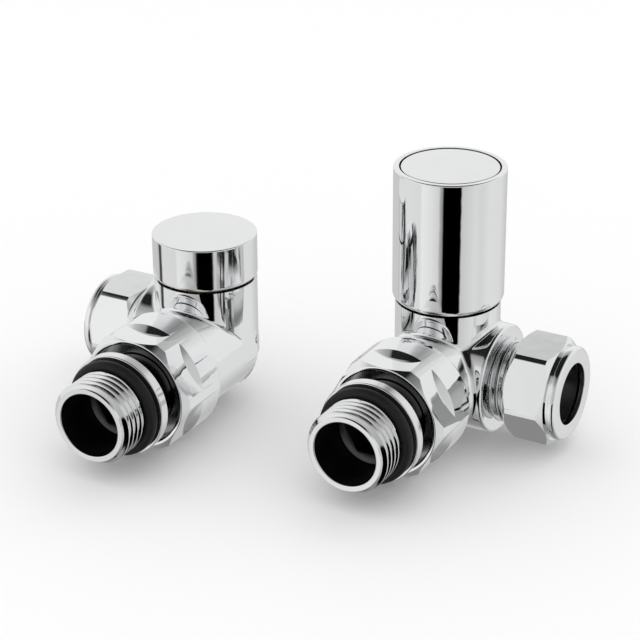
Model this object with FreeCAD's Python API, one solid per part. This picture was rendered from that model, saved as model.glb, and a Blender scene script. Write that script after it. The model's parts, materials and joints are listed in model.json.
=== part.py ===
"""A matched pair of corner radiator valves: one with a wheelhead, one with a lockshield cap.

Millimetres. Each valve is drawn about the point where its three axes cross: the spindle
goes up (+Z), the radiator tail goes forward (-Y) and the pipe inlet goes to the side
(+X on the wheelhead valve, mirrored on the lockshield valve). The pair is then placed so
that the origin is the centre of the wheelhead valve's radiator thread, in the plane where
its O-ring meets the face of the radiator.

Stations are distances along an axis from the point where the three axes cross.
"""
import FreeCAD, Part
import math
import os

V = FreeCAD.Vector
UP = V(0, 0, 1)

# --- driving dimensions -------------------------------------------------------------
REACH = 44.5                    # radiator face to spindle axis
PAIR_OFFSET = (-60.0, -16.0)    # lockshield valve's axis from the wheelhead valve's
FREE_GAP = 0.3                  # space left between bodies that move apart
PUSH_GAP = 0.05                 # radial gap of pieces screwed or pushed together

# body casting
INLET_BARREL_R = 13.6
TAIL_BARREL_R = 13.2
NECK_R = 13.0
NECK_TOP = 18.7
CORNER_BLEND = 3.0              # between the inlet and tail barrels
INLET_SHOULDER = 15.6
SHOULDER_ROUND = 1.8
TAIL_SHOULDER = 18.2

# G1/2 thread of the radiator tail and of the inlet
THREAD_R = 10.4775
THREAD_PITCH = 1.8143
THREAD_DEPTH = 1.162
CREST = 0.30                    # flat left on each crest
ROOT = 0.24                     # flat left at each root

# union between body and tail
UNION_THREAD_R = 12.0
UNION_END = 27.0                # end face of the body's union thread
UNION_NUT = (18.6, 34.6)
UNION_NUT_R = 15.4
UNION_AF = 28.0
UNION_FLAT_BACK = 28.0          # where the wrench flats stop
UNION_LIP = (30.1, 31.6)
UNION_RECESS_R = 12.9

# radiator tail
TAIL_MOUTH = 53.4
MOUTH_RIM_R = 9.5
TAIL_BORE_R = 8.05
KEY_AF = 12.0                   # hexagon that a tail key turns
KEY_DEPTH = (32.0, 40.5)
FLOW_R = 6.0
SHANK_R = 9.6
NOSE_R = 9.0
NOSE_END = 24.2
COLLAR = (39.5, 41.5)
COLLAR_R = 12.9
FACE_RING = (10.8, 1.5)         # face O-ring: centre line radius and section radius
SNAP = (28.6, 29.8)
SNAP_R = 11.0
SNAP_FLOOR_R = 8.7
UNION_SEAL = (8.6, 0.62)        # nose O-ring: centre line radius and section radius
UNION_SEAL_STATION = 25.8

# compression inlet for 15 mm pipe
PIPE_R = 7.6
PIPE_STOP = 11.5
INLET_THREAD = 11.9             # length from shoulder to mouth
CONE = (9.0, 2.1)               # mouth cone: radius and depth
NUT_AF = 24.0
NUT_R = 13.45
NUT_LENGTH = 14.1
NUT_TURN = 23.5                 # degrees from a flat facing forward
NUT_BACK = 2.1                  # nut's back face to the end of its back chamfer
WHEEL_NUT_START = 19.8          # hand tight, with thread showing
SHIELD_NUT_START = 16.5         # run up close to the shoulder
SPIGOT_IN_NUT = 7.7             # how far the inlet reaches into the nut
OLIVE_R = 8.7
OLIVE_LENGTH = 5.0

# headwork
CHAMBER_R = 8.0
SEAT_HOLE_R = 5.0
SEAT_PIT = 8.0                  # depth of the pit under the seat
BONNET_THREAD_R = 9.0
BONNET_BOTTOM = 8.3
BONNET_SEAL = (9.6, 0.6)        # O-ring under the flange: centre line and section radius
FLANGE_R = 11.0
FLANGE_TOP = 20.3
GUIDE_AF = 11.0
PLUG_AF = 10.6
SHOULDER_Z = 19.8               # spindle collar bears here
COLLAR_BOTTOM = 18.1
STEM_R = 4.0
STEM_BORE_R = 4.06
SCREW_R = 3.2                   # spindle thread that lifts the plug
SCREW_BOTTOM = 8.2
PLUG = (4.2, 13.2)              # floor of the plug's socket, and its top
PLUG_DISC_R = 6.3
SEAT_CLEAR = 0.1                # washer above the seat when shut
GLAND_R = 6.0
PACKING = (3.35, 0.68)          # spindle O-rings: centre line radius and section radius

# wheelhead
WHEEL_R = 13.7
WHEEL = (19.2, 53.0)
WHEEL_BORE_R = 12.3
RIM_ROUND = 0.8
DISC_R = 12.13
DISC = (50.8, 52.3, 0.7)        # underside, edge and crown height
INSERT = (36.0, 47.3, 50.3)     # hub bottom, flange underside and top
SPLINES = 18
SPLINE_R = (3.7, 3.3)

# lockshield cap
CAP_R = 13.15
CAP = (19.2, 30.2)
CAP_WALL = 1.3
CAP_TOP = 1.5

# heights of each valve's headwork: hexagon top, gland nut top, spindle top, O-ring heights
HEADWORK = {
    "manual": {"hex": 26.0, "gland": 30.0, "spindle": 46.5, "rings": (21.6, 27.6)},
    "lockshield": {"hex": 22.8, "gland": 25.6, "spindle": 28.2, "rings": (20.9, 24.2)},
}


# --- helpers ------------------------------------------------------------------------
def lay(point):
    station, radius = point
    return V(radius, 0, station)


def turned(outline, axis="z"):
    """Solid of revolution from (station, radius) points; ("arc", mid, end) makes an arc."""
    edges = []
    here = outline[0]
    for item in outline[1:] + [outline[0]]:
        if item[0] == "arc":
            edges.append(Part.Arc(lay(here), lay(item[1]), lay(item[2])).toShape())
            here = item[2]
        elif lay(item).distanceToPoint(lay(here)) > 1e-6:
            edges.append(Part.makeLine(lay(here), lay(item)))
            here = item
    solid = Part.Face(Part.Wire(edges)).revolve(V(0, 0, 0), UP, 360)
    return along(solid, axis)


def along(shape, axis):
    """Turn a shape drawn up +Z so that its stations run along the named axis."""
    shape = shape.copy()
    if axis == "x":
        shape.rotate(V(0, 0, 0), V(0, 1, 0), 90)
    if axis == "-y":
        shape.rotate(V(0, 0, 0), V(1, 0, 0), 90)
    return shape


def rod(radius, start, end, axis="z"):
    return along(Part.makeCylinder(radius, end - start, V(0, 0, start), UP), axis)


def prism(radii, start, end, first_deg=0.0):
    """Prism whose corners take the listed radii, evenly spaced about +Z."""
    corners = []
    for index, radius in enumerate(radii):
        angle = math.radians(first_deg + 360.0 * index / len(radii))
        corners.append(V(radius * math.cos(angle), radius * math.sin(angle), start))
    face = Part.Face(Part.makePolygon(corners + [corners[0]]))
    return face.extrude(V(0, 0, end - start))


def hexagon(across_flats, start, end, first_deg=0.0):
    return prism([across_flats / math.sqrt(3)] * 6, start, end, first_deg)


def o_ring(size, station, axis="z"):
    return along(Part.makeTorus(size[0], size[1], V(0, 0, station), UP), axis)


def corner_arc(corner, radius, before, after):
    """The arc item that rounds a corner of an outline whose two sides run along the axes."""
    start = (corner[0] - radius * before[0], corner[1] - radius * before[1])
    end = (corner[0] + radius * after[0], corner[1] + radius * after[1])
    inset = radius * (1 - math.sqrt(0.5))
    middle = (
        corner[0] - inset * before[0] + inset * after[0],
        corner[1] - inset * before[1] + inset * after[1],
    )
    return [start, ("arc", middle, end)]


def thread_outline(start, end):
    """Outline points of a threaded stretch, as turned V grooves at the thread's pitch."""
    points = [(start, THREAD_R)]
    flank = (THREAD_PITCH - CREST - ROOT) / 2
    station = start + CREST
    while station + THREAD_PITCH - CREST < end:
        points.append((station, THREAD_R))
        points.append((station + flank, THREAD_R - THREAD_DEPTH))
        points.append((station + flank + ROOT, THREAD_R - THREAD_DEPTH))
        points.append((station + 2 * flank + ROOT, THREAD_R))
        station += THREAD_PITCH
    points.append((end, THREAD_R))
    return points


# --- body ---------------------------------------------------------------------------
def barrels():
    """Inlet and tail barrels blended into each other, with the neck standing on them."""
    inlet = Part.makeSphere(INLET_BARREL_R).fuse(inlet_barrel())
    shell = inlet.fuse(rod(TAIL_BARREL_R, 0, TAIL_SHOULDER, "-y")).removeSplitter()
    seams = [edge for edge in shell.Edges if is_corner_seam(edge)]
    shell = shell.makeFillet(CORNER_BLEND, seams)
    return shell.fuse(rod(NECK_R, 0, NECK_TOP))


def inlet_barrel():
    outline = [(0.0, 0.0), (0.0, INLET_BARREL_R)]
    corner = (INLET_SHOULDER, INLET_BARREL_R)
    outline += corner_arc(corner, SHOULDER_ROUND, (1, 0), (0, -1))
    outline.append((INLET_SHOULDER, 0.0))
    return turned(outline, "x")


def is_corner_seam(edge):
    """True for the two edges where the tail barrel meets the inlet barrel and its ball."""
    box = edge.BoundBox
    meets_ball = box.YLength < 0.001 and -TAIL_SHOULDER < box.YMin < -1 and box.ZLength > TAIL_BARREL_R
    meets_barrel = box.YLength > TAIL_BARREL_R / 2 and box.YMin < -TAIL_BARREL_R and box.XMax > 1
    return meets_ball or meets_barrel


def inlet_spigot(mouth):
    outline = [(0.0, 0.0), (0.0, THREAD_R - THREAD_DEPTH)]
    outline += [(INLET_SHOULDER + 0.8, THREAD_R - THREAD_DEPTH)]
    outline += thread_outline(INLET_SHOULDER + 1.6, mouth - 0.9)
    outline += [(mouth, THREAD_R - 0.9), (mouth, 0.0)]
    return turned(outline, "x")


def union_spigot():
    outline = [(0.0, 0.0), (0.0, UNION_THREAD_R), (UNION_END - 0.6, UNION_THREAD_R)]
    outline += [(UNION_END, UNION_THREAD_R - 0.6), (UNION_END, 0.0)]
    return turned(outline, "-y")


def body_waterway(mouth):
    """Everything cut out of the body: sockets, chamber, seat and the two passages."""
    cuts = []
    socket = [(PIPE_STOP, 0.0), (PIPE_STOP, PIPE_R), (mouth - CONE[1], PIPE_R)]
    socket += [(mouth, CONE[0]), (mouth + 1, CONE[0]), (mouth + 1, 0.0)]
    cuts.append(turned(socket, "x"))
    cuts.append(turned([(-SEAT_PIT, 0.0), (-SEAT_PIT, SEAT_HOLE_R), (1, SEAT_HOLE_R), (1, 0.0)]))
    chamber = [(0.0, 0.0), (0.0, CHAMBER_R), (BONNET_BOTTOM - 0.6, CHAMBER_R)]
    seal_floor = NECK_TOP - 2 * BONNET_SEAL[1] - 0.1
    seal_wall = BONNET_SEAL[0] + BONNET_SEAL[1] + PUSH_GAP
    chamber += [(BONNET_BOTTOM - 0.6, BONNET_THREAD_R), (seal_floor, BONNET_THREAD_R)]
    chamber += [(seal_floor, seal_wall), (NECK_TOP + 1, seal_wall), (NECK_TOP + 1, 0.0)]
    cuts.append(turned(chamber))
    lower = rod(4.0, 0, PIPE_STOP + 1, "x")
    lower.translate(V(0, 0, -3.6))
    cuts.append(lower)
    upper = rod(3.9, 0, NOSE_END, "-y")
    upper.translate(V(0, 0, 4.2))
    cuts.append(upper)
    nose_socket = NOSE_R + 2 * PUSH_GAP + 0.2
    cuts.append(rod(FLOW_R + 1.4, 12.5, UNION_END, "-y"))
    cuts.append(rod(nose_socket, NOSE_END - 0.4, UNION_END + 1, "-y"))
    return cuts


def body(mouth):
    shape = barrels().fuse(inlet_spigot(mouth)).fuse(union_spigot())
    for cut in body_waterway(mouth):
        shape = shape.cut(cut)
    return shape


# --- union and tail -------------------------------------------------------------------
def union_nut():
    back, front = UNION_NUT
    outline = [(back, UNION_THREAD_R + FREE_GAP), (back, UNION_NUT_R - 0.8)]
    outline += [("arc", (back + 0.24, UNION_NUT_R - 0.24), (back + 0.8, UNION_NUT_R))]
    outline += [(front - 1.6, UNION_NUT_R), (front, UNION_NUT_R - 1.5)]
    outline += [(front, UNION_RECESS_R + 0.4), (front - 0.5, UNION_RECESS_R)]
    outline += [(UNION_LIP[1], UNION_RECESS_R), (UNION_LIP[1], SHANK_R + FREE_GAP)]
    outline += [(UNION_LIP[0], SHANK_R + FREE_GAP), (UNION_LIP[0], UNION_THREAD_R + FREE_GAP)]
    nut = turned(outline, "-y")
    flats = rod(UNION_NUT_R + 2, UNION_FLAT_BACK, front + 1, "-y")
    flats = flats.cut(along(hexagon(UNION_AF, UNION_FLAT_BACK - 1, front + 2), "-y"))
    return nut.cut(flats)


def radiator_tail():
    root = THREAD_R - THREAD_DEPTH
    ring_floor = FACE_RING[0] - FACE_RING[1] - 0.03
    outline = [(NOSE_END, FLOW_R), (NOSE_END, NOSE_R - 0.4), (NOSE_END + 0.4, NOSE_R)]
    seal_floor = UNION_SEAL[0] - UNION_SEAL[1] - 0.03
    seal_half = UNION_SEAL[1] + 0.15
    outline += groove(UNION_SEAL_STATION, seal_half, seal_floor, NOSE_R)
    outline += [(UNION_END + FREE_GAP, NOSE_R), (UNION_END + FREE_GAP, SHANK_R)]
    outline += groove(sum(SNAP) / 2, (SNAP[1] - SNAP[0]) / 2, SNAP_FLOOR_R, SHANK_R)
    outline += [(COLLAR[0], SHANK_R), (COLLAR[0], COLLAR_R - 0.25), (COLLAR[0] + 0.25, COLLAR_R)]
    outline += [(COLLAR[1] - 0.25, COLLAR_R), (COLLAR[1], COLLAR_R - 0.25), (COLLAR[1], ring_floor)]
    outline += [(REACH, ring_floor), (REACH, root), (REACH, THREAD_R)]
    outline += thread_outline(REACH, TAIL_MOUTH - 1.0)
    outline += [(TAIL_MOUTH, MOUTH_RIM_R), (TAIL_MOUTH, TAIL_BORE_R + 0.35)]
    outline += [(TAIL_MOUTH - 0.35, TAIL_BORE_R), (KEY_DEPTH[1] + 0.6, TAIL_BORE_R)]
    outline += [(KEY_DEPTH[1], KEY_AF / math.sqrt(3) + 0.2), (KEY_DEPTH[1], FLOW_R)]
    tail = turned(outline, "-y")
    return tail.cut(along(hexagon(KEY_AF, KEY_DEPTH[0], KEY_DEPTH[1] + 1), "-y"))


def groove(station, half_width, floor_r, land_r):
    return [
        (station - half_width, land_r),
        (station - half_width, floor_r),
        (station + half_width, floor_r),
        (station + half_width, land_r),
    ]


def snap_ring():
    """Open spring ring in the tail's groove, which holds the union nut on the tail."""
    start, end = SNAP[0] + PUSH_GAP, SNAP[1] - PUSH_GAP
    floor = SNAP_FLOOR_R + PUSH_GAP
    ring = turned([(start, floor), (start, SNAP_R), (end, SNAP_R), (end, floor)], "-y")
    gap = Part.makeBox(2.4, end - start + 2, SNAP_R + 1, V(-1.2, -end - 1, 0))
    return ring.cut(gap)


# --- compression joint ------------------------------------------------------------------
def compression_nut(start):
    chamfer_r = NUT_AF / 2 - 0.9
    end = start + NUT_LENGTH
    hex_end = end - 2.9
    outline = [(start, THREAD_R + FREE_GAP), (start, chamfer_r), (start + NUT_BACK, NUT_R)]
    outline += [(hex_end - 1.0, NUT_R), (hex_end + 0.2, NUT_AF / 2), (hex_end + 0.2, 11.25)]
    outline += [(hex_end + 1.2, 11.25), (hex_end + 1.2, 11.7), (end - 1.0, 11.7)]
    outline += [("arc", (end - 0.29, 11.41), (end, 10.7)), (end, PIPE_R + 0.35)]
    outline += [(end - 0.3, PIPE_R + 0.05), (start + 12.8, PIPE_R + 0.05)]
    outline += [(start + 12.8, 7.9), (start + 10.4, 9.6), (start + 10.4, THREAD_R + FREE_GAP)]
    nut = turned(outline, "x")
    cutter = rod(NUT_R + 2, start - 1, hex_end + 0.2, "x")
    flats = hexagon(NUT_AF, start - 2, hex_end + 1, -NUT_TURN)
    return nut.cut(cutter.cut(along(flats, "x")))


def olive(mouth):
    start = mouth - 0.5
    end = start + OLIVE_LENGTH
    outline = [(start, PIPE_R + 0.02), (start, PIPE_R + 0.35), (start + 1.2, OLIVE_R)]
    outline += [(end - 1.2, OLIVE_R), (end, PIPE_R + 0.35), (end, PIPE_R + 0.02)]
    return turned(outline, "x")


# --- headwork ---------------------------------------------------------------------------
def bonnet(sizes):
    """Screwed headwork: guide for the plug below, bearing for the spindle above."""
    top = sizes["hex"]
    pocket = top - 1.8
    outline = [(BONNET_BOTTOM, 0.0), (BONNET_BOTTOM, BONNET_THREAD_R - PUSH_GAP)]
    outline += [(NECK_TOP - 1.6, BONNET_THREAD_R - PUSH_GAP), (NECK_TOP + PUSH_GAP, BONNET_THREAD_R - PUSH_GAP)]
    outline += [(NECK_TOP + PUSH_GAP, FLANGE_R), (FLANGE_TOP, FLANGE_R), (FLANGE_TOP, 10.7)]
    outline += [(top - 0.6, 10.7), (top, 9.4), (top, GLAND_R), (pocket, GLAND_R), (pocket, 0.0)]
    shape = turned(outline)
    flats = rod(FLANGE_R + 1, FLANGE_TOP, top + 1).cut(hexagon(19.0, FLANGE_TOP - 1, top + 2))
    shape = shape.cut(flats)
    shape = shape.cut(hexagon(GUIDE_AF, BONNET_BOTTOM - 1, SHOULDER_Z))
    return shape.cut(rod(STEM_BORE_R, SHOULDER_Z - 1, top + 1))


def bonnet_seal():
    return o_ring(BONNET_SEAL, NECK_TOP - BONNET_SEAL[1] - PUSH_GAP)


def gland_nut(sizes):
    low = sizes["hex"] - 1.7
    shoulder = sizes["hex"] + PUSH_GAP
    top = sizes["gland"]
    outline = [(low, STEM_BORE_R), (low, GLAND_R - PUSH_GAP), (shoulder, GLAND_R - PUSH_GAP)]
    outline += [(shoulder, 7.4), (top - 0.5, 7.4), (top, 6.7), (top, STEM_BORE_R)]
    nut = turned(outline)
    return nut.cut(rod(8.5, shoulder, top + 1).cut(hexagon(13.0, shoulder - 1, top + 2)))


def spindle(name, sizes):
    """Rising thread at the foot, collar, sealed stem, and the drive at the top."""
    drive = sizes["gland"] + 1.0
    outline = [(SCREW_BOTTOM, 0.0), (SCREW_BOTTOM, SCREW_R - 0.4), (SCREW_BOTTOM + 0.4, SCREW_R)]
    outline += [(COLLAR_BOTTOM, SCREW_R), (COLLAR_BOTTOM, 5.2)]
    outline += [(SHOULDER_Z - PUSH_GAP, 5.2), (SHOULDER_Z - PUSH_GAP, STEM_R)]
    for station in sizes["rings"]:
        outline += groove(station, PACKING[1] + 0.1, PACKING[0] - PACKING[1] - 0.02, STEM_R)
    outline += [(drive, STEM_R), (drive, 0.0)]
    stem = turned(outline)
    if name == "manual":
        head = prism([SPLINE_R[0], SPLINE_R[1]] * SPLINES, drive - 0.5, sizes["spindle"])
        stem = stem.fuse(head)
        return stem.cut(rod(1.6, sizes["spindle"] - 9, sizes["spindle"] + 1))
    head = prism([SPLINE_R[1] + 0.3] * 4, drive - 0.5, sizes["spindle"], 45)
    return stem.fuse(head)


def spindle_seals(sizes):
    return Part.makeCompound([o_ring(PACKING, station) for station in sizes["rings"]])


def plug():
    """Valve plug: a nut on the spindle's thread that slides in the bonnet's hexagon."""
    floor, top = PLUG
    washer_top = SEAT_CLEAR + 1.8
    disc = rod(PLUG_DISC_R, washer_top, floor - 0.2)
    guide = hexagon(PLUG_AF, floor - 0.5, top)
    shape = disc.fuse(guide).cut(rod(SCREW_R + FREE_GAP, floor, top + 1))
    return shape.cut(rod(1.5, washer_top - 1, floor + 1))


def seat_washer():
    outline = [(SEAT_CLEAR, 1.6), (SEAT_CLEAR, 5.7), (SEAT_CLEAR + 0.3, 6.0)]
    outline += [(SEAT_CLEAR + 1.8, 6.0), (SEAT_CLEAR + 1.8, 1.6)]
    return turned(outline)


def washer_screw():
    head_bottom = SEAT_CLEAR - 1.5
    outline = [(head_bottom, 0.0), (head_bottom, 2.4), (SEAT_CLEAR, 2.6), (SEAT_CLEAR, 1.45)]
    outline += [(PLUG[0] - 0.3, 1.45), (PLUG[0] - 0.3, 0.0)]
    slot = Part.makeBox(6, 0.7, 0.7, V(-3, -0.35, head_bottom - 0.1))
    return turned(outline).cut(slot)


# --- wheelhead --------------------------------------------------------------------------
def wheel_sleeve():
    low, high = WHEEL
    outline = [(low, WHEEL_BORE_R), (low, WHEEL_R - 0.7), (low + 0.9, WHEEL_R)]
    outline += corner_arc((high, WHEEL_R), RIM_ROUND, (1, 0), (0, -1))
    outline += [(high, WHEEL_BORE_R + 0.1), (high - 0.1, WHEEL_BORE_R)]
    return turned(outline)


def wheel_insert():
    hub_low, flange_low, top = INSERT
    edge = WHEEL_BORE_R - 0.02
    outline = [(hub_low, 0.0), (hub_low, 6.3), (flange_low, 6.8), (flange_low, edge), (top, edge)]
    outline += [(top, 4.6), (flange_low + 0.2, 4.6), (flange_low + 0.2, 0.0)]
    shape = turned(outline)
    for index in range(4):
        angle = math.radians(45 + 90 * index)
        rib = Part.makeBox(5.0, 1.4, flange_low - 40.0 + 0.5, V(6.2, -0.7, 40.0))
        rib.rotate(V(0, 0, 0), UP, math.degrees(angle))
        shape = shape.fuse(rib)
    clear = PUSH_GAP
    socket = [SPLINE_R[0] + clear, SPLINE_R[1] + clear] * SPLINES
    socket_top = HEADWORK["manual"]["spindle"] + 0.1
    shape = shape.cut(prism(socket, hub_low - 1, socket_top))
    return shape.cut(rod(2.1, socket_top - 1, top))


def wheel_screw():
    seat = INSERT[1] + 0.2
    tip = HEADWORK["manual"]["spindle"] - 8.0
    outline = [(tip, 0.0), (tip, 1.55), (seat, 1.55), (seat, 3.6), (seat + 1.6, 3.6)]
    outline += [("arc", (seat + 2.1, 3.3), (seat + 2.4, 2.6)), (seat + 2.4, 0.0)]
    screw = turned(outline)
    for turn in (0, 90):
        slot = Part.makeBox(4.0, 0.8, 2.0, V(-2.0, -0.4, seat + 1.2))
        slot.rotate(V(0, 0, 0), UP, turn)
        screw = screw.cut(slot)
    return screw


def wheel_disc():
    """Slightly domed cover pressed into the top of the wheelhead."""
    under, edge, crown = DISC
    skirt_low = INSERT[2] + PUSH_GAP
    outline = [(under, 0.0), (under, 10.6), (skirt_low, 10.6), (skirt_low, 11.5), (under, 11.5)]
    outline += [(under, DISC_R), (edge - 0.15, DISC_R), (edge, DISC_R - 0.15), (edge, 0.0)]
    plate = turned(outline)
    rim = DISC_R - 0.15
    ball_r = (rim ** 2 + crown ** 2) / (2 * crown)
    ball = Part.makeSphere(ball_r, V(0, 0, edge + crown - ball_r))
    return plate.fuse(ball.common(rod(DISC_R, edge - 0.1, edge + 1)))


# --- lockshield cap ---------------------------------------------------------------------
def shield_cap():
    low, high = CAP
    inner = CAP_R - CAP_WALL
    outline = [(low, inner), (low, CAP_R - 0.9)]
    outline += [("arc", (low + 0.26, CAP_R - 0.26), (low + 0.9, CAP_R))]
    outline += [(high - 0.25, CAP_R), (high, CAP_R - 0.25), (high, 0.0)]
    outline += [(high - CAP_TOP, 0.0), (high - CAP_TOP, inner), (low + 2.2, inner)]
    outline += [(low + 2.2, inner + 0.3), (low + 0.8, inner + 0.3), (low + 0.8, inner)]
    return turned(outline)


def cap_grip_ring():
    low = CAP[0] + 0.85
    high = CAP[0] + 2.15
    outer = CAP_R - CAP_WALL + 0.28
    inner = FLANGE_R + FREE_GAP
    outline = [(low, inner + 0.2), (low, outer), (high, outer), (high, inner + 0.2)]
    outline += [((low + high) / 2, inner)]
    return turned(outline)


# --- one valve, then the pair -------------------------------------------------------------
def valve(name, nut_start):
    sizes = HEADWORK[name]
    mouth = nut_start + SPIGOT_IN_NUT
    return {
        name + "_body": body(mouth),
        name + "_bonnet": bonnet(sizes),
        name + "_bonnet_seal": bonnet_seal(),
        name + "_gland_nut": gland_nut(sizes),
        name + "_spindle": spindle(name, sizes),
        name + "_spindle_seals": spindle_seals(sizes),
        name + "_plug": plug(),
        name + "_seat_washer": seat_washer(),
        name + "_washer_screw": washer_screw(),
        name + "_union_nut": union_nut(),
        name + "_radiator_tail": radiator_tail(),
        name + "_tail_o_ring": o_ring(FACE_RING, sum((COLLAR[1], REACH)) / 2, "-y"),
        name + "_snap_ring": snap_ring(),
        name + "_union_seal": o_ring(UNION_SEAL, UNION_SEAL_STATION, "-y"),
        name + "_compression_nut": compression_nut(nut_start),
        name + "_olive": olive(mouth),
    }


def build():
    pieces = valve("manual", WHEEL_NUT_START)
    pieces["wheelhead_sleeve"] = wheel_sleeve()
    pieces["wheelhead_insert"] = wheel_insert()
    pieces["wheelhead_screw"] = wheel_screw()
    pieces["wheelhead_disc"] = wheel_disc()
    placed = {}
    for name, shape in pieces.items():
        shape.translate(V(0, REACH, 0))
        placed[name] = shape
    pieces = valve("lockshield", SHIELD_NUT_START)
    pieces["lockshield_cap"] = shield_cap()
    pieces["lockshield_cap_grip_ring"] = cap_grip_ring()
    for name, shape in pieces.items():
        shape = shape.mirror(V(0, 0, 0), V(1, 0, 0))
        shape.translate(V(PAIR_OFFSET[0], REACH + PAIR_OFFSET[1], 0))
        placed[name] = shape
    return placed


def main():
    os.makedirs("parts", exist_ok=True)
    for name, shape in build().items():
        shape.exportStep("parts/" + name + ".step")
        solids = len(shape.Solids)
        print(name, "solids", solids, "valid", shape.isValid(), "volume", round(shape.Volume, 1))


main()
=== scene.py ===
# A matched pair of corner radiator valves in bright chrome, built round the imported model.
# Lengths are millimetres until a piece is finished, and stations run along an axis
# from the point where a valve's three axes cross.
import bpy
import bmesh
import json
import math
import numpy as np
from mathutils import Matrix, Vector


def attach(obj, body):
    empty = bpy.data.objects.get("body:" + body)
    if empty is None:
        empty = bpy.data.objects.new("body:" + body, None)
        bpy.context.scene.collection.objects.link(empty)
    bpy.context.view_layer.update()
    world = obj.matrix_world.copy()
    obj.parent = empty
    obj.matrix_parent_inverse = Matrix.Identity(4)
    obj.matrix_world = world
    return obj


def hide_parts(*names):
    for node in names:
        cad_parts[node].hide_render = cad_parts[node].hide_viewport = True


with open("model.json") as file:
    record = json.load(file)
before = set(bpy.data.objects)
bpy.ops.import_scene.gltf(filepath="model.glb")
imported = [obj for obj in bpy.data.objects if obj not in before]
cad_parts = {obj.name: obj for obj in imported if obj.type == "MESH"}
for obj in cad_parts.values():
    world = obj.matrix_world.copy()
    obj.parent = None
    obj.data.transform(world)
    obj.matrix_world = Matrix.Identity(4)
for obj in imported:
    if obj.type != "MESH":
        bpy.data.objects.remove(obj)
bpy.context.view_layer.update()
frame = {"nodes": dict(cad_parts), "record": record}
millimetre = 0.001
scene = bpy.context.scene

# The point where each valve's axes cross, and which way its pipe inlet points.
reach = 44.5
valves = {
    "manual": {"at": (0.0, reach, 0.0), "side": 1, "nutStart": 19.8},
    "lockshield": {"at": (-60.0, reach - 16.0, 0.0), "side": -1, "nutStart": 16.5},
}
spigotInNut = 7.7
g12 = {"crest": 10.4775, "depth": 1.162, "pitch": 1.8143}


# A socket that can be added, taken away, multiplied and divided, and a node tree that makes its own links.
class Wire:
    def __init__(self, finish, socket):
        self.finish = finish
        self.socket = socket

    def outlet(self, index):
        return Wire(self.finish, self.socket.node.outputs[index])

    def maths(self, operation, first, second):
        return self.finish.node("Math", {"operation": operation}, {0: first, 1: second})

    def __add__(self, other):
        return self.maths("ADD", self, other)

    def __sub__(self, other):
        return self.maths("SUBTRACT", self, other)

    def __rsub__(self, other):
        return self.maths("SUBTRACT", other, self)

    def __mul__(self, other):
        return self.maths("MULTIPLY", self, other)

    def __truediv__(self, other):
        return self.maths("DIVIDE", self, other)

    __radd__ = __add__
    __rmul__ = __mul__


class Finish:
    def __init__(self, block):
        block.use_nodes = True
        self.block = block
        self.tree = block.node_tree
        self.tree.nodes.clear()

    def node(self, kind, settings=None, values=None, output=0):
        made = self.tree.nodes.new("ShaderNode" + kind)
        for name, value in (settings or {}).items():
            if name == "stops":
                self.fillRamp(made.color_ramp, value)
            else:
                setattr(made, name, value)
        for name, value in (values or {}).items():
            if isinstance(value, Wire):
                self.tree.links.new(value.socket, made.inputs[name])
            else:
                made.inputs[name].default_value = value
        return Wire(self, made.outputs[output] if len(made.outputs) else None)

    def fillRamp(self, ramp, stops):
        while len(ramp.elements) < len(stops):
            ramp.elements.new(0.5)
        for element, (position, tone) in zip(ramp.elements, stops):
            element.position = position
            element.color = (*tone, 1.0)

    def ramp(self, factor, stops):
        greys = [(position, (tone,) * 3 if isinstance(tone, float) else tone) for position, tone in stops]
        return self.node("ValToRGB", {"stops": greys}, {"Fac": factor})

    def noise(self, where, scale, detail=2.0, roughness=0.5):
        values = {"Vector": where, "Scale": scale, "Detail": detail, "Roughness": roughness}
        return self.node("TexNoise", None, values)

    def between(self, factor, first, second):
        return self.node("Mix", {"data_type": "RGBA"}, {0: factor, 6: first, 7: second}, 2)


def objectPoint(finish, scale=(1, 1, 1), turn=(0, 0, 0)):
    where = finish.node("TexCoord", None, None, 3)
    return finish.node("Mapping", None, {"Vector": where, "Scale": scale, "Rotation": turn})


plating = {"tint": (0.93, 0.935, 0.94), "haze": (0.018, 0.05),
           "ripple": 0.000035, "rippleScale": 210.0,
           "markScale": 1400.0, "markDepth": 0.000004}


def chromePlate(name, tone=1.0, haze=None, ripple=1.0, turnedMarks=0.0):
    # mirror chrome: slight cloudiness, a faint ripple in the plating and fine polishing lines
    look = Finish(bpy.data.materials.new(name))
    where = objectPoint(look)
    cloud = look.noise(where, 95.0, 3.0)
    fine = look.noise(where, 2600.0, 2.0, 0.6)
    low, high = haze or plating["haze"]
    rough = (cloud * 0.7 + fine * 0.3) * (high - low) + low
    # a low tone darkens the plating; the bore and recess finishes use it for painted shade
    tint = [channel * tone for channel in plating["tint"]]
    dulled = [channel * 0.955 for channel in tint]
    colour = look.between(cloud, (*tint, 1.0), (*dulled, 1.0))
    swell = look.noise(where, plating["rippleScale"], 1.0)
    bump = look.node("Bump", None, {"Height": swell, "Strength": 1.0, "Distance": plating["ripple"] * ripple})
    if turnedMarks:
        lines = look.node("TexWave", {"wave_type": "RINGS", "rings_direction": "Z"},
                          {"Vector": where, "Scale": plating["markScale"], "Distortion": 0.4, "Detail": 1.0})
        bump = look.node("Bump", None, {"Height": lines, "Strength": turnedMarks,
                                        "Distance": plating["markDepth"], "Normal": bump})
    return shaded(look, {"Base Color": colour, "Metallic": 1.0, "Roughness": rough, "Normal": bump})


def shaded(look, values):
    surface = look.node("BsdfPrincipled", None, values)
    look.node("OutputMaterial", None, {"Surface": surface})
    return look.block


grainDepth = 0.00001


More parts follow.
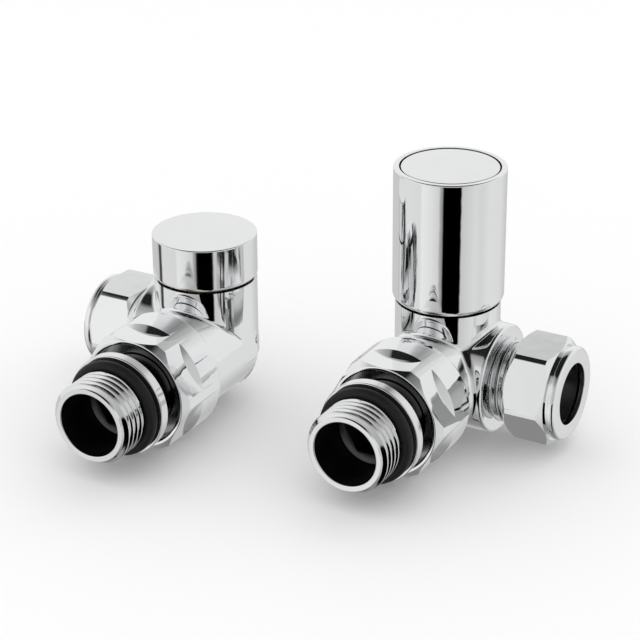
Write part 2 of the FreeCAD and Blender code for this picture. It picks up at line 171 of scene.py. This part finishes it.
def brassBar(name, tint, haze):
    # free-cutting brass as it comes off the lathe: tool marks and slight tarnish
    look = Finish(bpy.data.materials.new(name))
    where = objectPoint(look)
    tarnish = look.noise(where, 260.0, 4.0, 0.6)
    marks = look.noise(objectPoint(look, (400, 400, 4200)), 1.0, 2.0)
    aged = [channel * shade for channel, shade in zip(tint, (0.88, 0.84, 0.76))]
    patch = look.ramp(tarnish, [(0.42, 0.0), (0.72, 1.0)])
    colour = look.between(patch, (*tint, 1.0), (*aged, 1.0))
    bump = look.node("Bump", None, {"Height": marks, "Strength": 0.5, "Distance": grainDepth})
    rough = tarnish * 0.16 + haze
    return shaded(look, {"Base Color": colour, "Metallic": 1.0, "Roughness": rough, "Normal": bump})


def rubber(name, tone, haze):
    # moulded nitrile: near black, with a soft bloom and a trace of grain
    look = Finish(bpy.data.materials.new(name))
    where = objectPoint(look)
    bloom = look.noise(where, 380.0, 4.0, 0.65)
    grain = look.noise(where, 5200.0, 2.0)
    colour = look.between(bloom, (tone, tone, tone, 1.0), (tone * 2.4, tone * 2.4, tone * 2.5, 1.0))
    bump = look.node("Bump", None, {"Height": grain, "Strength": 0.6, "Distance": grainDepth})
    return shaded(look, {"Base Color": colour, "Roughness": bloom * 0.22 + haze, "Normal": bump,
                         "Specular IOR Level": 0.22})


def mouldedNylon(name):
    # off-white moulded plastic with slight flow marks
    look = Finish(bpy.data.materials.new(name))
    where = objectPoint(look)
    flow = look.noise(where, 120.0, 3.0)
    grain = look.noise(where, 3800.0, 2.0)
    colour = look.between(flow, (0.78, 0.77, 0.73, 1.0), (0.70, 0.69, 0.64, 1.0))
    bump = look.node("Bump", None, {"Height": grain, "Strength": 0.5, "Distance": grainDepth})
    return shaded(look, {"Base Color": colour, "Roughness": flow * 0.15 + 0.36, "Normal": bump,
                         "Subsurface Weight": 0.05})


def springSteel(name):
    # grey steel with a little scale
    look = Finish(bpy.data.materials.new(name))
    where = objectPoint(look)
    scale = look.noise(where, 420.0, 4.0, 0.6)
    colour = look.between(scale, (0.52, 0.51, 0.50, 1.0), (0.36, 0.36, 0.37, 1.0))
    bump = look.node("Bump", None, {"Height": scale, "Strength": 0.4, "Distance": grainDepth})
    rough = scale * 0.2 + 0.22
    return shaded(look, {"Base Color": colour, "Metallic": 1.0, "Roughness": rough, "Normal": bump})


finishes = {
    "chrome": chromePlate("brightChrome"),
    "tail_chrome": chromePlate("turnedChrome", 0.93, (0.05, 0.11), 0.5),
    "thread_chrome": chromePlate("threadChrome", 0.86, (0.05, 0.12), 0.5, 0.3),
    # bore: rougher metal whose colour is darkened to 0.12 as painted shade inside bores
    "bore": chromePlate("paintedShadeBoreMetal", 0.12, (0.24, 0.38), 0.5, 0.6),
    # recess: chrome darkened to 0.30 as painted shade in recesses, thread roots and faces inside the nuts
    "recess": chromePlate("paintedShadeMetal", 0.30, (0.10, 0.18), 0.5, 1.0),
    "disc_chrome": chromePlate("discChrome", 0.97, (0.05, 0.11), 0.6),
    "brass": brassBar("turnedBrass", (0.80, 0.62, 0.33), 0.20),
    "spindle_brass": brassBar("spindleBrass", (0.78, 0.58, 0.30), 0.26),
    "olive_brass": chromePlate("platedOlive", 0.34, (0.16, 0.28), 0.5, 0.5),
    "steel": springSteel("springSteel"),
    "white_plastic": mouldedNylon("headNylon"),
    "o_ring_rubber": rubber("ringRubber", 0.006, 0.34),
    "seal_rubber": rubber("sealRubber", 0.014, 0.42),
}
slotOf = {part["node"]: part["material_slot"] for part in frame["record"]["subparts"]}
for name, node in frame["nodes"].items():
    node.data.materials.clear()
    node.data.materials.append(finishes[slotOf[name]])
print("finishes:", len(finishes))


def along(axis):
    # turns stations up +Z onto the tail's or the inlet's own axis
    return {
        "up": Matrix.Identity(4),
        "tail": Matrix.Rotation(math.radians(90), 4, "X"),
        "inlet": Matrix.Rotation(math.radians(90), 4, "Y"),
    }[axis]


def softened(outline):
    # outline items are (station, radius) or (station, radius, round); a round swaps the corner for a curve
    eased = []
    for index, item in enumerate(outline):
        corner = Vector(item[:2])
        if len(item) < 3:
            eased.append(corner)
            continue
        before = (Vector(outline[index - 1][:2]) - corner).normalized() * item[2]
        after = (Vector(outline[(index + 1) % len(outline)][:2]) - corner).normalized() * item[2]
        for step in range(7):
            t = step / 6
            eased.append(corner + before * (1 - t) ** 2 + after * t ** 2)
    return eased


def lathe(outline, closed=True, segments=160):
    bm = bmesh.new()
    verts = [bm.verts.new((radius, 0, station)) for station, radius in softened(outline)]
    edges = [bm.edges.new(pair) for pair in zip(verts, verts[1:])]
    if closed:
        edges.append(bm.edges.new((verts[-1], verts[0])))
    bmesh.ops.spin(bm, geom=verts + edges, axis=(0, 0, 1), cent=(0, 0, 0), angle=math.tau,
                   steps=segments, use_merge=True, use_duplicate=False)
    bmesh.ops.remove_doubles(bm, verts=bm.verts, dist=0.0004)
    bmesh.ops.recalc_face_normals(bm, faces=bm.faces)
    return bm


def hexRing(acrossFlats, outside, start, end, firstDeg=0.0):
    # what a hexagon leaves of a disc, for milling flats; with outside None it is the hexagon itself
    bm = bmesh.new()
    corner = acrossFlats / math.sqrt(3)
    bmesh.ops.create_circle(bm, segments=6, radius=corner, cap_ends=outside is None)
    if outside is not None:
        bmesh.ops.create_circle(bm, segments=6, radius=outside)
        bmesh.ops.bridge_loops(bm, edges=bm.edges[:])
    lifted = bmesh.ops.extrude_face_region(bm, geom=bm.faces[:])
    moved = [item for item in lifted["geom"] if isinstance(item, bmesh.types.BMVert)]
    bmesh.ops.translate(bm, verts=moved, vec=(0, 0, end - start))
    bmesh.ops.translate(bm, verts=bm.verts, vec=(0, 0, start))
    # create_circle puts its first corner on +Y
    turn = Matrix.Rotation(math.radians(firstDeg - 90), 3, "Z")
    bmesh.ops.rotate(bm, verts=bm.verts, cent=(0, 0, 0), matrix=turn)
    bmesh.ops.recalc_face_normals(bm, faces=bm.faces)
    return bm


def asObject(name, bm):
    mesh = bpy.data.meshes.new(name)
    bm.to_mesh(mesh)
    bm.free()
    made = bpy.data.objects.new(name, mesh)
    scene.collection.objects.link(made)
    return made


def evaluated(made):
    # swaps a piece's mesh for what its modifiers make of it
    bpy.context.view_layer.update()
    depsgraph = bpy.context.evaluated_depsgraph_get()
    mesh = bpy.data.meshes.new_from_object(made.evaluated_get(depsgraph))
    made.modifiers.clear()
    made.data = mesh
    return made


def combined(made, tool, operation="DIFFERENCE"):
    # one exact boolean, after which the tool is gone
    step = made.modifiers.new(operation, "BOOLEAN")
    step.operation = operation
    step.solver = "EXACT"
    step.object = tool
    evaluated(made)
    bpy.data.objects.remove(tool)
    return made


def placed(made, valve, sharpDeg=32.0):
    # finishes a piece: into the row frame, in metres, smooth where it isn't an edge
    place = Matrix.Scale(millimetre, 4) @ Matrix.Translation(valves[valve]["at"])
    made.data.transform(place)
    made.data.shade_smooth()
    made.data.set_sharp_from_angle(angle=math.radians(sharpDeg))
    # flat faces keep their own normals, so all the turning happens in the roundings
    weigh = made.modifiers.new("weigh", "WEIGHTED_NORMAL")
    weigh.keep_sharp = True
    return made


def fitted(made, body, slot, *nodes):
    # gives a piece its finish, its body and the nodes that it stands for
    made.data.materials.clear()
    made.data.materials.append(finishes[slot])
    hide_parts(*nodes)
    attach(made, body)
    return made


def refinished(made, valve, slot, chosen):
    # gives some faces a second finish, picked by their middle, in millimetres from the valve's crossing point
    made.data.materials.append(finishes[slot])
    for face in made.data.polygons:
        if chosen(face.center / millimetre - Vector(valves[valve]["at"])):
            face.material_index = len(made.data.materials) - 1


# One side of a thread from root to crest: millimetres along the pitch, and the share of the depth there.
whorl = {"steps": 96, "overlap": 1.5, "flank": [
    (0.0, 0.0), (0.08, 0.005), (0.15, 0.05), (0.22, 0.14), (0.44, 0.5),
    (0.66, 0.86), (0.73, 0.95), (0.80, 0.995), (0.907, 1.0),
]}


def woundThread(start, end, runIn, runOut):
    # skin of a right-hand thread, its crest held under a cone at each end
    root = g12["crest"] - g12["depth"]
    rising = [(station, root + share * g12["depth"]) for station, share in whorl["flank"]]
    falling = [(g12["pitch"] - station, radius) for station, radius in reversed(rising[:-1])]
    turns = math.ceil((end - start) / g12["pitch"] + 2 * whorl["overlap"])
    bm = bmesh.new()
    low = start - whorl["overlap"] * g12["pitch"]
    verts = [bm.verts.new((radius, 0, low + station)) for station, radius in rising + falling]
    edges = [bm.edges.new(pair) for pair in zip(verts, verts[1:])]
    bmesh.ops.spin(bm, geom=verts + edges, axis=(0, 0, 1), cent=(0, 0, 0), angle=math.tau * turns,
                   dvec=(0, 0, g12["pitch"] / whorl["steps"]), steps=whorl["steps"] * turns,
                   use_duplicate=False)
    bmesh.ops.remove_doubles(bm, verts=bm.verts, dist=0.002)
    for vert in bm.verts:
        radius = vert.co.xy.length
        held = min(radius, root + max(0.0, vert.co.z - start) * g12["depth"] / runIn)
        held = min(held, root + max(0.0, end - vert.co.z) * g12["depth"] / runOut)
        vert.co.xy *= max(root, held) / radius
    for station, side in ((start, -1), (end, 1)):
        bmesh.ops.bisect_plane(bm, geom=bm.verts[:] + bm.edges[:] + bm.faces[:], dist=0.001,
                               plane_co=(0, 0, station), plane_no=(0, 0, side), clear_outer=True)
    return bm


def threaded(bm, start, end, runIn, runOut):
    # joins a thread to an open lathe surface that stops just short of it at both ends
    skin = woundThread(start, end, runIn, runOut)
    mesh = bpy.data.meshes.new("whorl")
    skin.to_mesh(mesh)
    skin.free()
    bm.from_mesh(mesh)
    bpy.data.meshes.remove(mesh)
    middle = (start + end) / 2
    rims = [edge for edge in bm.edges if edge.is_boundary]
    for below in (True, False):
        pair = [edge for edge in rims if (edge.verts[0].co.z < middle) == below]
        bmesh.ops.bridge_loops(bm, edges=pair)
    bmesh.ops.recalc_face_normals(bm, faces=bm.faces)
    return bm


def aimed(bm, axis, side=1):
    # lays a piece drawn up +Z onto a valve's axis; the lockshield valve's inlet points the other way
    turn = along(axis)
    if axis == "inlet" and side < 0:
        turn = Matrix.Rotation(math.pi, 4, "Z") @ turn
    bmesh.ops.transform(bm, matrix=turn, verts=bm.verts)
    return bm


# Radiator tails, with stations measured from the spindle towards the radiator.
tail = {
    "bore": 8.05, "flow": 6.0, "mouth": 53.4, "keyFlats": 12.0, "key": (32.0, 40.5), "lead": 0.6,
    "collar": (38.8, 41.5, 12.9), "ringSeat": 9.27, "shank": 9.6, "nose": (24.2, 27.3, 9.0),
    "snapGroove": (28.6, 29.8, 8.7), "sealGroove": (25.03, 26.57, 7.95),
}
keyCorner = tail["keyFlats"] / math.sqrt(3) + 0.2
threadRoot = g12["crest"] - g12["depth"]
for name in valves:
    back, front, wide = tail["collar"]
    snapBack, snapFront, snapFloor = tail["snapGroove"]
    sealBack, sealFront, sealFloor = tail["sealGroove"]
    noseEnd, noseStart, nose = tail["nose"]
    shank, keyEnd = tail["shank"], tail["key"][1]
    outline = [
        (reach - 0.05, tail["ringSeat"]), (front, tail["ringSeat"]), (front, wide, 0.3), (back, wide, 0.3),
        (back, shank), (snapFront, shank), (snapFront, snapFloor), (snapBack, snapFloor), (snapBack, shank),
        (noseStart, shank), (noseStart, nose), (sealFront, nose), (sealFront, sealFloor),
        (sealBack, sealFloor), (sealBack, nose), (noseEnd, nose, 0.4), (noseEnd, tail["flow"]),
        (keyEnd, tail["flow"]), (keyEnd, keyCorner), (keyEnd + tail["lead"], tail["bore"]),
        (tail["mouth"], tail["bore"], 0.35), (tail["mouth"], threadRoot - 0.1),
    ]
    bm = threaded(lathe(outline, closed=False), reach, tail["mouth"], 0.7, 1.16)
    made = asObject(name + "Tail", aimed(bm, "tail"))
    key = hexRing(tail["keyFlats"], None, tail["key"][0], tail["key"][1] + 0.3)
    combined(made, asObject("key", aimed(key, "tail")))
    placed(made, name, 36)
    fitted(made, name + "_tail", "tail_chrome", name + "_radiator_tail")
    # painted shade: the tail's bore gets the darkened bore finish, and its nose and grooves inside the union
    # nut the darkened recess finish
    refinished(made, name, "bore", lambda p: p.xz.length < tail["bore"] + 0.02)
    refinished(made, name, "recess", lambda p: noseEnd < -p.y < back + 0.02 and p.xz.length > nose - 0.5)
print("tails:", len(made.data.polygons), "faces each")


# Union nuts: round behind, hexagonal in front, held on the tail by its snap ring.
unionNut = {
    "acrossFlats": 28.0, "round": 15.4, "back": 18.6, "front": 34.6, "chamfer": (1.6, 1.5), "recess": 12.9,
    "recessFloor": 31.6, "ringSeat": 30.1, "throat": 9.9, "thread": 12.3,
    "flatsFrom": 28.6, "runOut": 1.2,  # the flats end on a cone, this many millimetres along for one outwards
}
for name in valves:
    back, front, wide = unionNut["back"], unionNut["front"], unionNut["round"]
    bevelLong, bevelDeep = unionNut["chamfer"]
    recess, floorAt, seatAt = unionNut["recess"], unionNut["recessFloor"], unionNut["ringSeat"]
    outline = [
        (back, unionNut["thread"], 0.15), (back, wide, 0.8), (front - bevelLong, wide),
        (front, wide - bevelDeep, 0.2), (front, recess + 0.4), (front - 0.5, recess), (floorAt, recess),
        (floorAt, unionNut["throat"]), (seatAt, unionNut["throat"]), (seatAt, unionNut["thread"]),
    ]
    made = asObject(name + "UnionNut", aimed(lathe(outline), "tail"))
    # the cutter is a hexagon's outside, trimmed behind by a cone so that each flat runs out in a curve
    mill = asObject("mill", aimed(hexRing(unionNut["acrossFlats"], 20.0, 22.0, front + 2), "tail"))
    slope = unionNut["runOut"]
    first = unionNut["flatsFrom"] - (wide - unionNut["acrossFlats"] / 2) * slope
    outer, inner = (first + (wide - radius) * slope for radius in (21.0, 9.0))
    shape = [(outer, 21.0), (front + 3, 21.0), (front + 3, 9.0), (inner, 9.0)]
    combined(mill, asObject("cone", aimed(lathe(shape), "tail")), "INTERSECT")
    combined(made, mill)
    placed(made, name)
    fitted(made, name + "_union_nut", "chrome", name + "_union_nut")
    # painted shade: the nut's inside faces get the darkened recess finish
    refinished(made, name, "recess", lambda p: p.xz.length < recess + 0.02)
print("union nuts")


# Compression nuts, with a turned collar in front of the hexagon.
gripNut = {
    "acrossFlats": 24.0, "round": 13.45, "length": 14.1, "turnDeg": 23.5, "hole": 7.65, "thread": 10.78,
    "collar": 11.7, "collarRound": 1.1, "collarLength": 2.9, "groove": 11.25, "grooveWidth": 1.0,
    "seat": (10.4, 9.6, 12.8, 7.9),  # cone for the olive: station and radius at both ends
}
for name, valve in valves.items():
    start = valve["nutStart"]
    end = start + gripNut["length"]
    hexEnd = end - gripNut["collarLength"]
    step = hexEnd + 0.2
    shelf = step + gripNut["grooveWidth"]
    wide, collar, groove = gripNut["round"], gripNut["collar"], gripNut["groove"]
    seatBack, seatWide, seatFront, seatThin = gripNut["seat"]
    outline = [
        (start, gripNut["thread"], 0.1), (start, 11.1, 0.15), (start + 2.1, wide), (hexEnd - 1.0, wide),
        (step, 12.0), (step, groove), (shelf, groove), (shelf, collar, 0.15),
        (end, collar, gripNut["collarRound"]), (end, gripNut["hole"], 0.3),
        (start + seatFront, gripNut["hole"]), (start + seatFront, seatThin),
        (start + seatBack, seatWide), (start + seatBack, gripNut["thread"]),
    ]
    made = asObject(name + "CompressionNut", aimed(lathe(outline), "inlet", valve["side"]))
    turn = -gripNut["turnDeg"] * valve["side"]
    mill = hexRing(gripNut["acrossFlats"], 20.0, start - 1, step, turn)
    combined(made, asObject("mill", aimed(mill, "inlet", valve["side"])))
    placed(made, name)
    fitted(made, name + "_compression_nut", "chrome", name + "_compression_nut")
print("compression nuts")


wheel = {"low": 19.2, "high": 53.0, "radius": 13.7, "bore": 12.3, "rim": 0.4}
outline = [
    (wheel["low"], wheel["bore"], 0.1), (wheel["low"], wheel["radius"] - 0.7, 0.15),
    (wheel["low"] + 0.9, wheel["radius"], 0.5), (wheel["high"], wheel["radius"], wheel["rim"]),
    (wheel["high"], wheel["bore"], 0.12),
]
made = placed(asObject("wheelheadSleeve", lathe(outline, segments=240)), "manual")
fitted(made, "wheelhead", "chrome", "wheelhead_sleeve")
# painted shade: the inside of the sleeve gets the darkened bore finish
refinished(made, "manual", "bore", lambda p: p.xy.length < wheel["bore"] + 0.02)

disc = {"under": 50.8, "edge": 52.92, "crown": 0.26, "radius": 11.95, "foot": (50.35, 10.6, 11.5)}
footEnd, footIn, footOut = disc["foot"]
rim = disc["radius"] - 0.15
ball = (rim ** 2 + disc["crown"] ** 2) / (2 * disc["crown"])
dome = [(disc["edge"] + disc["crown"] - ball + math.sqrt(ball ** 2 - r ** 2), r)
        for r in [rim * step / 24 for step in range(23, -1, -1)]]
outline = [
    (disc["under"], 0.0), (disc["under"], footIn), (footEnd, footIn),
    (footEnd, footOut), (disc["under"], footOut),
    (disc["under"], disc["radius"], 0.15), (disc["edge"], disc["radius"], 0.3),
]
made = placed(asObject("wheelheadDisc", lathe(outline + dome, False, 240)), "manual")
fitted(made, "wheelhead", "disc_chrome", "wheelhead_disc")

cap = {"low": 19.2, "high": 30.2, "radius": 13.15, "wall": 1.3, "top": 1.5, "ringGroove": (20.0, 21.4, 0.3)}
inside = cap["radius"] - cap["wall"]
ceiling = cap["high"] - cap["top"]
grooveLow, grooveHigh, grooveDepth = cap["ringGroove"]
outline = [
    (ceiling, 0.0), (ceiling, inside, 0.4), (grooveHigh, inside), (grooveHigh, inside + grooveDepth),
    (grooveLow, inside + grooveDepth), (grooveLow, inside), (cap["low"], inside, 0.15),
    (cap["low"], cap["radius"], 0.9), (cap["high"], cap["radius"], 0.35), (cap["high"], 0.0),
]
made = placed(asObject("lockshieldCap", lathe(outline, False, 240)), "lockshield")
fitted(made, "lockshield_cap", "disc_chrome", "lockshield_cap")
print("wheelhead and cap")


# Valve bodies: three barrels run together with cast fillets.
casting = {
    "inlet": 13.6, "tail": 13.2, "neck": 13.0, "neckTop": 18.7, "shoulder": 15.6, "shoulderRound": 0.8,
    "tailShoulder": 18.2, "cornerBlend": 2.0, "neckBlend": 0.9, "voxel": 0.4,
}
union = {"radius": 12.0, "end": 27.0}


def barrels(p, side):
    # distance to the inlet, tail and neck barrels
    x, y, z = p[:, 0] * side, p[:, 1], p[:, 2]
    wide = np.hypot(y, z)
    ease = casting["shoulderRound"]
    out = wide - (casting["inlet"] - ease)
    over = x - (casting["shoulder"] - ease)
    capped = np.hypot(np.maximum(out, 0), np.maximum(over, 0)) + np.minimum(np.maximum(out, over), 0) - ease
    ball = np.sqrt((x * casting["inlet"] / casting["neck"]) ** 2 + wide ** 2) - casting["inlet"]
    inlet = np.where(x > 0, capped, ball)
    tailBarrel = np.maximum(np.hypot(x, z) - casting["tail"], y - 2)
    neck = np.maximum(np.hypot(x, y) - casting["neck"], -z - 2)
    return inlet, tailBarrel, neck


def slopes(p, side, step=0.01):
    # which way each of the three distances grows
    found = []
    for axis in range(3):
        shift = np.zeros(3)
        shift[axis] = step
        ahead, behind = barrels(p + shift, side), barrels(p - shift, side)
        found.append([(a - b) / (2 * step) for a, b in zip(ahead, behind)])
    return [np.stack([found[axis][which] for axis in range(3)], 1) for which in range(3)]


def filleted(a, b, slopeA, slopeB, radius):
    # joins two shapes with a fillet that fades out where they run into each other smoothly
    fade = np.clip(1 - (slopeA * slopeB).sum(1), 0, 1) * radius
    return np.maximum(fade, np.minimum(a, b)) - np.hypot(np.maximum(fade - a, 0), np.maximum(fade - b, 0))


def skin(p, side):
    # distance to the whole blended casting
    inlet, tailBarrel, neck = barrels(p, side)
    slopeInlet, slopeTail, slopeNeck = slopes(p, side)
    corner = filleted(inlet, tailBarrel, slopeInlet, slopeTail, casting["cornerBlend"])
    nearer = np.where((inlet < tailBarrel)[:, None], slopeInlet, slopeTail)
    return filleted(corner, neck, nearer, slopeNeck, casting["neckBlend"])


def drawnOnto(mesh, side, rounds):
    # pulls every vertex onto the blended casting
    p = np.empty(len(mesh.vertices) * 3)
    mesh.vertices.foreach_get("co", p)
    p = p.reshape(-1, 3)
    for _ in range(rounds):
        gap = skin(p, side)
        slope = np.stack([(skin(p + s, side) - skin(p - s, side)) / 0.04 for s in np.eye(3) * 0.02], 1)
        p = p - np.clip(gap, -0.5, 0.5)[:, None] * slope / np.maximum((slope ** 2).sum(1), 0.25)[:, None]
    mesh.vertices.foreach_set("co", p.reshape(-1))
    mesh.update()


def cast(name, side):
    # melts the barrels together, draws the result onto the blended skin and faces it off at both ends
    bm = bmesh.new()
    bmesh.ops.create_uvsphere(bm, u_segments=64, v_segments=32, radius=casting["inlet"])
    stretches = (("inlet", casting["inlet"], casting["shoulder"]), ("tail", casting["tail"], 22.0),
                 ("up", casting["neck"], 22.0))
    for axis, radius, length in stretches:
        part = lathe([(-1.0, 0.0), (-1.0, radius), (length, radius), (length, 0.0)], False, 96)
        aimed(part, axis, side)
        mesh = bpy.data.meshes.new("barrel")
        part.to_mesh(mesh)
        part.free()
        bm.from_mesh(mesh)
        bpy.data.meshes.remove(mesh)
    made = asObject(name + "Body", bm)
    melt = made.modifiers.new("melt", "REMESH")
    melt.mode = "VOXEL"
    melt.voxel_size = casting["voxel"]
    evaluated(made)
    drawnOnto(made.data, side, 3)
    bm = bmesh.new()
    bm.from_mesh(made.data)
    for _ in range(3):
        bmesh.ops.smooth_vert(bm, verts=bm.verts, factor=0.5, use_axis_x=True, use_axis_y=True,
                              use_axis_z=True)
    bm.to_mesh(made.data)
    drawnOnto(made.data, side, 3)
    bm.clear()
    bm.from_mesh(made.data)
    faced = [((0, 0, casting["neckTop"]), (0, 0, 1)), ((0, -casting["tailShoulder"], 0), (0, -1, 0))]
    for spot, facing in faced:
        cut = bmesh.ops.bisect_plane(bm, geom=bm.verts[:] + bm.edges[:] + bm.faces[:], dist=0.01,
                                     plane_co=spot, plane_no=facing, clear_outer=True)
        rim = [item for item in cut["geom_cut"] if isinstance(item, bmesh.types.BMEdge)]
        bmesh.ops.holes_fill(bm, edges=rim, sides=0)
    bm.to_mesh(made.data)
    bm.free()
    return made


# Bores inside a body: axis, height above the crossing point, then (start, end, radius) of each step.
bores = [
    ("up", 0.0, [(-8.0, 1.0, 5.0)]),
    ("up", 0.0, [(0.0, 7.7, 8.0), (7.7, 17.4, 9.0), (17.4, 19.7, 10.25)]),
    ("inlet", -3.6, [(0.0, 12.5, 4.0)]),
    ("tail", 4.2, [(0.0, 24.2, 3.9)]),
    ("tail", 0.0, [(12.5, 27.0, 7.4)]),
    ("tail", 0.0, [(23.8, 28.0, 9.3)]),
]


def waterway(side, mouth):
    # every bore in a body, as one solid to take away
    whole = None
    inletBore = ("inlet", 0.0, [(11.5, mouth - 2.1, 7.6), (mouth, mouth + 1, 9.0)])
    for axis, lift, steps in [inletBore] + bores:
        outline = [(station, radius) for start, end, radius in steps for station in (start, end)]
        outline = [(outline[0][0], 0.0)] + outline + [(outline[-1][0], 0.0)]
        bm = aimed(lathe(outline, False, 96), axis, side)
        bmesh.ops.translate(bm, verts=bm.verts, vec=(0, 0, lift))
        bore = asObject("bore", bm)
        whole = combined(whole, bore, "UNION") if whole else bore
    return whole


for name, valve in valves.items():
    side = valve["side"]
    mouth = valve["nutStart"] + spigotInNut
    made = cast(name, side)
    bm = lathe([(5.0, 0.0), (5.0, threadRoot), (15.2, threadRoot)], False)
    bmesh.ops.create_circle(bm, cap_ends=True, segments=160, radius=threadRoot - 0.1,
                            matrix=Matrix.Translation((0, 0, mouth)))
    threaded(bm, 15.3, mouth, 0.3, 1.16)
    combined(made, asObject("spigot", aimed(bm, "inlet", side)), "UNION")
    outline = [(5.0, 0.0), (5.0, union["radius"]), (union["end"], union["radius"], 0.6), (union["end"], 0.0)]
    combined(made, asObject("spigot", aimed(lathe(outline, False), "tail")), "UNION")
    combined(made, waterway(side, mouth))
    placed(made, name, 34)
    fitted(made, name + "_valve", "chrome", name + "_body")
    threadFrom = casting["shoulder"] + 0.05
    crest = g12["crest"] + 0.12
    refinished(made, name, "thread_chrome", lambda p: p.yz.length < crest and p.x * side > threadFrom)
    # painted shade: thread roots get the darkened recess finish, and the inlet bore the darkened bore finish
    refinished(made, name, "recess", lambda p: p.yz.length < threadRoot + 0.3 and p.x * side > threadFrom)
    refinished(made, name, "bore", lambda p: p.yz.length < 8.4 and p.x * side > 11.0)
print("bodies:", len(made.data.polygons), "faces each")


view = {"azimuthDeg": 29.22, "elevationDeg": 24.76, "rollDeg": -0.43, "distance": 538.31,
        "aim": (-29.805, 33.341, 10.431), "lens": 121.51}
azimuth, elevation, roll = (math.radians(view[angle]) for angle in ("azimuthDeg", "elevationDeg", "rollDeg"))
back = Matrix.Rotation(azimuth, 3, "Z") @ Vector((0, -math.cos(elevation), math.sin(elevation)))
across = Vector((math.cos(azimuth), math.sin(azimuth), 0))
upward = back.cross(across)
rightward = across * math.cos(roll) + upward * math.sin(roll)
turn = Matrix((rightward, back.cross(rightward), back)).transposed().to_4x4()
camera = bpy.data.objects.new("camera", bpy.data.cameras.new("camera"))
scene.collection.objects.link(camera)
camera.data.sensor_width = 36.0
camera.data.lens = view["lens"]
camera.data.clip_start = 0.01
camera.data.clip_end = 20.0
spot = (Vector(view["aim"]) + back * view["distance"]) * millimetre
camera.matrix_world = Matrix.Translation(spot) @ turn
scene.camera = camera
scene.view_settings.view_transform = "Standard"

floor = {"drop": -15.4, "half": 4.0, "tone": 0.93}
bm = bmesh.new()
bmesh.ops.create_grid(bm, x_segments=8, y_segments=8, size=floor["half"] / millimetre)
ground = asObject("floor", bm)
ground.data.transform(Matrix.Scale(millimetre, 4) @ Matrix.Translation((0, 0, floor["drop"])))
paper = Finish(bpy.data.materials.new("paper"))
fibre = paper.noise(objectPoint(paper), 900.0, 3.0)
tone = floor["tone"]
paint = paper.between(fibre, (tone, tone, tone, 1.0), (tone * 0.99, tone * 0.99, tone * 0.99, 1.0))
ground.data.materials.append(shaded(paper, {"Base Color": paint, "Roughness": 0.8}))
ground.visible_glossy = False

# What polished metal sees: a white tent, dark overhead, with the gap the camera looks through low in front.
# Each list gives degrees and brightness: bearings round from the gap, and heights above the horizon.
tent = {
    "gapFacing": -60.8, "light": 1.1, "gapTop": -8.0,
    "low": [(-180, 0.60), (-125, 0.62), (-119, 0.55), (-117, 0.06), (-109, 0.06), (-106, 0.76), (-66, 0.74),
            (-60, 0.86), (-40, 0.78), (-25, 0.68), (-22, 0.40), (-18, 0.30), (-16, 0.0), (19, 0.0),
            (21, 0.60), (50, 0.74), (66, 0.70), (84, 0.78), (122, 0.76), (150, 0.60), (180, 0.58)],
    "high": [(-180, 0.88), (-120, 0.84), (-60, 0.9), (-35, 0.6), (0, 0.45), (35, 0.6), (60, 0.80),
             (130, 0.84), (180, 0.88)],
    "heights": [(-90, 0.30), (-62, 0.45), (-48, 0.80), (-30, 1.0), (27, 1.0), (34, 0.86), (39, 0.62),
                (53, 0.36), (57, 0.02), (90, 0.01)],
}
world = bpy.data.worlds.new("studio")
scene.world = world
sky = Finish(world)
facing = sky.node("TexCoord", None, None, 0)
split = sky.node("SeparateXYZ", None, {"Vector": facing})
eastward, northward, skyward = split, split.outlet(1), split.outlet(2)
bearing = sky.node("Math", {"operation": "ARCTAN2"}, {0: northward, 1: eastward})
bearing = bearing - math.radians(tent["gapFacing"])
wrapped = sky.node("Math", {"operation": "WRAP"}, {0: bearing, 1: math.pi, 2: -math.pi})
share = wrapped / math.tau + 0.5
height = sky.node("Math", {"operation": "ARCSINE"}, {0: skyward}) / math.pi + 0.5
low = sky.ramp(share, [((deg + 180) / 360, tone) for deg, tone in tent["low"]])
high = sky.ramp(share, [((deg + 180) / 360, tone) for deg, tone in tent["high"]])
gapTop = tent["gapTop"] / 180 + 0.5
lifted = sky.ramp(height, [(gapTop - 0.006, 0.0), (gapTop + 0.006, 1.0)])
layer = sky.ramp(height, [((deg + 90) / 180, tone) for deg, tone in tent["heights"]])
walls = sky.between(lifted, low, high)
seen = sky.node("Mix", {"data_type": "RGBA", "blend_type": "MULTIPLY"}, {0: 1.0, 6: walls, 7: layer}, 2)
plain = sky.node("Background", None, {"Color": (1, 1, 1, 1), "Strength": tent["light"]})
mirrored = sky.node("Background", None, {"Color": seen, "Strength": 1.0})
glossy = sky.node("LightPath", None, None, "Is Glossy Ray")
mixed = sky.node("MixShader", None, {0: glossy, 1: plain, 2: mirrored})
sky.node("OutputWorld", None, {"Surface": mixed})
print("studio")
